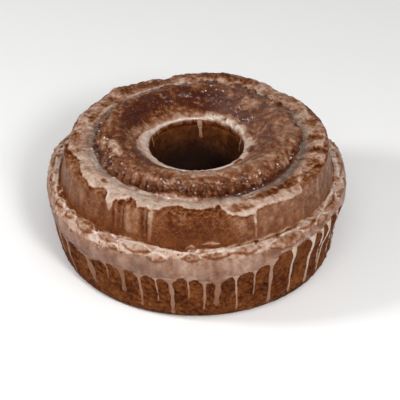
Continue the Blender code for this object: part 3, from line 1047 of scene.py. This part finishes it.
def glaze_material(name, coat, coat_roughness, roughness, grain, grit):
    material, tree, shader = shader_of(name)
    shade = nudged(tree, point_value(tree, "sugar"), 700, 4, grain)
    shade = nudged(tree, shade, 220, 4, 0.22)
    colour = ramped(tree, worked(tree, "ADD", shade, 0.0, clamp=True), GLAZE_COLOURS)
    specks = scaled(tree, noise_value(tree, 1100, 2), 0.60, 0.72, 0.0, 0.5)
    colour = mixed(tree, specks, colour, CRUST_SPECK)
    specks = scaled(tree, noise_value(tree, 1250, 1), 0.68, 0.76, 0.0, 0.45)
    colour = mixed(tree, specks, colour, SUGAR_SPECK)
    colour = mixed(tree, worked(tree, "MULTIPLY", point_value(tree, "cool"), 0.7), colour, COOL_GLAZE)
    colour = mixed(tree, point_value(tree, "mauve"), colour, MAUVE_GLAZE_AND_SHEEN)
    colour = mixed(tree, point_value(tree, "amber"), colour, AMBER_CRUST)
    # Painted shade: darker towards near-black where the crust lies in a hollow
    shadow = scaled(tree, point_value(tree, "hollow"), -1.3, -0.25, 0.85, 0.0)
    colour = mixed(tree, shadow, colour, CREVICE_SHADE)
    tree.links.new(colour, shader.inputs["Base Color"])
    gloss = scaled(tree, noise_value(tree, 300, 3), 0.3, 0.7, roughness - 0.1, roughness + 0.12)
    tree.links.new(gloss, shader.inputs["Roughness"])
    gloss = scaled(tree, point_value(tree, "hollow"), -0.8, 0.1, 0.15 * coat, coat)
    tree.links.new(gloss, shader.inputs["Coat Weight"])
    shader.inputs["Coat Roughness"].default_value = coat_roughness
    shader.inputs["Specular IOR Level"].default_value = 0.05
    shader.inputs["Subsurface Weight"].default_value = 0.12
    shader.inputs["Subsurface Radius"].default_value = (1.0, 0.5, 0.25)
    shader.inputs["Subsurface Scale"].default_value = 0.0015
    roughened(tree, shader, noise_value(tree, 1300, 3), grit, 0.0003)
    return material


CRUMB_COLOURS = [
    (0.00, (0.016, 0.003, 0.001)),
    (0.35, (0.070, 0.016, 0.003)),
    (0.70, (0.155, 0.047, 0.011)),
    (1.00, (0.260, 0.100, 0.030)),
]
# Painted shade: near-black mixed into the hole's wall
SHADED_HOLE_CRUMB = (0.013, 0.006, 0.0045)


def crumb_material():
    material, tree, shader = shader_of("baked_crumb")
    pore = point_value(tree, "pore")
    shade = nudged(tree, noise_value(tree, 300, 8, 0.75), 70, 4, 1.3)
    # Painted shade: darker in the pores and hollows of the crumb, lighter on its raised crust
    shade = worked(tree, "SUBTRACT", shade, worked(tree, "MULTIPLY", pore, 0.25))
    painted_relief_shade = worked(tree, "MULTIPLY", point_value(tree, "hollow"), 0.35)
    shade = worked(tree, "ADD", shade, painted_relief_shade, clamp=True)
    colour = ramped(tree, shade, CRUMB_COLOURS)
    # Painted shade darkens the hole's wall, most deep down
    colour = mixed(tree, worked(tree, "MULTIPLY", point_value(tree, "hole_shade"), 0.95), colour, SHADED_HOLE_CRUMB)
    tree.links.new(colour, shader.inputs["Base Color"])
    tree.links.new(scaled(tree, noise_value(tree, 500, 3), 0.3, 0.7, 0.5, 0.85), shader.inputs["Roughness"])
    shader.inputs["Specular IOR Level"].default_value = 0.05
    roughened(tree, shader, noise_value(tree, 900, 5, 0.7), 0.6, 0.0006)
    return material


# Stage

CAMERA_ELEVATION = 34.0
CAMERA_DISTANCE = 1.44
CAMERA_LENS = 202.5
FLANGE_LEVEL = 0.0422
PIXEL = 0.00064
SHIFT_RIGHT, SHIFT_UP = 3.5, -15.0
FLOOR_HALF = 3.0


def make_floor():
    bpy.ops.mesh.primitive_plane_add(size=2 * FLOOR_HALF)
    floor = bpy.context.object
    floor.name = "floor"
    material, tree, shader = shader_of("pale_floor")
    shader.inputs["Base Color"].default_value = (0.90, 0.90, 0.90, 1)
    shader.inputs["Roughness"].default_value = 0.7
    floor.data.materials.append(material)


def add_area_light(name, place, target, size, power, colour=(1, 1, 1)):
    light = bpy.data.lights.new(name, "AREA")
    light.shape = "DISK"
    light.size = size
    light.energy = power
    light.color = colour
    lamp = bpy.data.objects.new(name, light)
    lamp.location = place
    lamp.rotation_euler = (Vector(target) - Vector(place)).to_track_quat("-Z", "Y").to_euler()
    bpy.context.scene.collection.objects.link(lamp)


def light_scene():
    world = bpy.data.worlds.new("studio")
    bpy.context.scene.world = world
    world.use_nodes = True
    back = world.node_tree.nodes["Background"]
    back.inputs["Color"].default_value = (1.0, 1.0, 1.0, 1)
    back.inputs["Strength"].default_value = 0.22
    middle = (0, 0, 0.05)
    add_area_light("softbox", (0.15, -0.95, 1.2), middle, 1.4, 12.5, (1.0, 0.985, 0.965))
    add_area_light("window", (-1.05, -0.15, 0.8), middle, 0.28, 8)
    add_area_light("glints", (0.4, -1.1, 0.9), middle, 0.30, 11)
    bpy.context.scene.view_settings.view_transform = "Standard"


def place_camera():
    elevation = math.radians(CAMERA_ELEVATION)
    up = Vector((0, math.sin(elevation), math.cos(elevation)))
    back = Vector((0, -math.cos(elevation), math.sin(elevation)))
    aim = Vector((SHIFT_RIGHT * PIXEL, 0, FLANGE_LEVEL)) + SHIFT_UP * PIXEL * up
    data = bpy.data.cameras.new("camera")
    data.lens = CAMERA_LENS
    data.clip_end = 20
    camera = bpy.data.objects.new("camera", data)
    camera.location = aim + CAMERA_DISTANCE * back
    camera.rotation_euler = (-back).to_track_quat("-Z", "Y").to_euler()
    bpy.context.scene.collection.objects.link(camera)
    bpy.context.scene.camera = camera


def main():
    wet = glaze_material("wet_glaze", 0.80, 0.06, 0.40, 0.12, 0.08)
    dry = glaze_material("sugar_glaze", 0.10, 0.15, 0.40, 0.22, 0.20)
    crumb = crumb_material()
    for make, material, slot in (
        (make_crown, wet, "glaze"),
        (make_shoulder, dry, "glaze"),
        (make_flange, dry, "glaze"),
        (make_crumb, crumb, "crumb"),
        (make_drips, dry, "glaze"),
        (make_chips, dry, "glaze"),
    ):
        piece = make()
        piece.data.materials.append(material)
        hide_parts("cake")
        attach(piece, "root")
    make_floor()
    light_scene()
    place_camera()


main()
